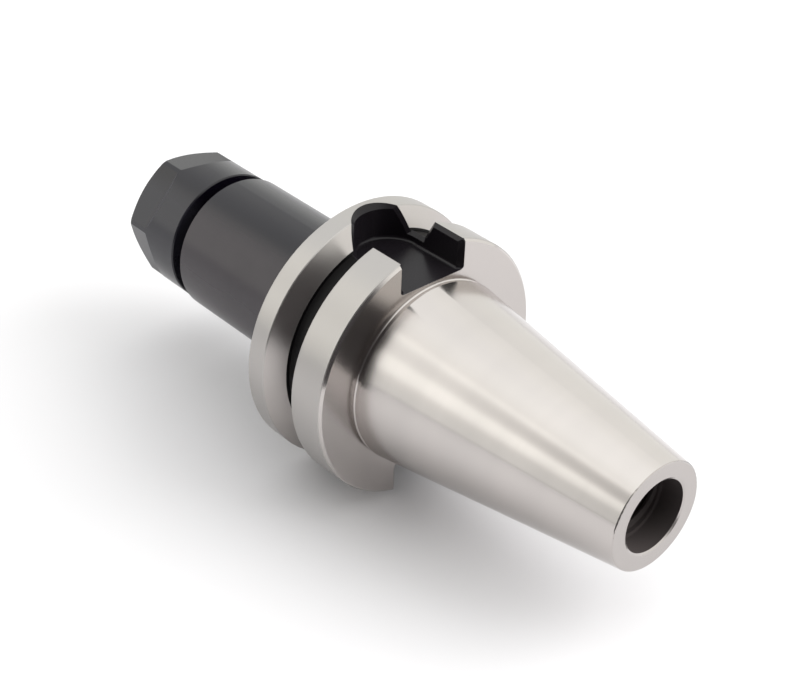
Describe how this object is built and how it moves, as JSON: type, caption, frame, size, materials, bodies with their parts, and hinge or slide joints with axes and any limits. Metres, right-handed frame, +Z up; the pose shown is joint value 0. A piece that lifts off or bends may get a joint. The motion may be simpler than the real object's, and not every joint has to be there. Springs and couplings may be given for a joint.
{
  "type": "collet chuck holder",
  "caption": "Steep-taper tool holder with a grooved and slotted drive flange, a long round nose, a hexagonal clamping nut and a slotted spring collet.",
  "frame": {"origin": "centre of the gauge plane on the axis, where the taper is 44.45 mm in diameter", "axes": "+X along the axis towards the taper's small end, the nut towards -X; +Z up through the middle of one drive slot, the other slot faces the floor"},
  "size_m": [0.161, 0.063, 0.063],
  "materials": {
    "body_steel": "ground, black oxide on the nose, groove floor and slots",
    "nut_steel": "black oxide",
    "collet_steel": "ground"
  },
  "bodies": {
    "holder": {"holder_body": "body_steel"},
    "collet": {"collet": "collet_steel"},
    "nut": {"clamping_nut": "nut_steel"}
  },
  "joints": [
    {"name": "collet_slide", "type": "slide", "parent": "holder", "child": "collet", "axis": [-1, 0, 0], "range_m": [0, 0.009]},
    {"name": "nut_turn", "type": "hinge", "parent": "collet", "child": "nut", "pos_m": [-0.086, 0, 0], "axis": [-1, 0, 0], "range_deg": [0, 2160]}
  ],
  "couplings": [
    {"joint": "collet_slide", "follows": "nut_turn", "m_per_rad": 0.0002387}
  ]
}
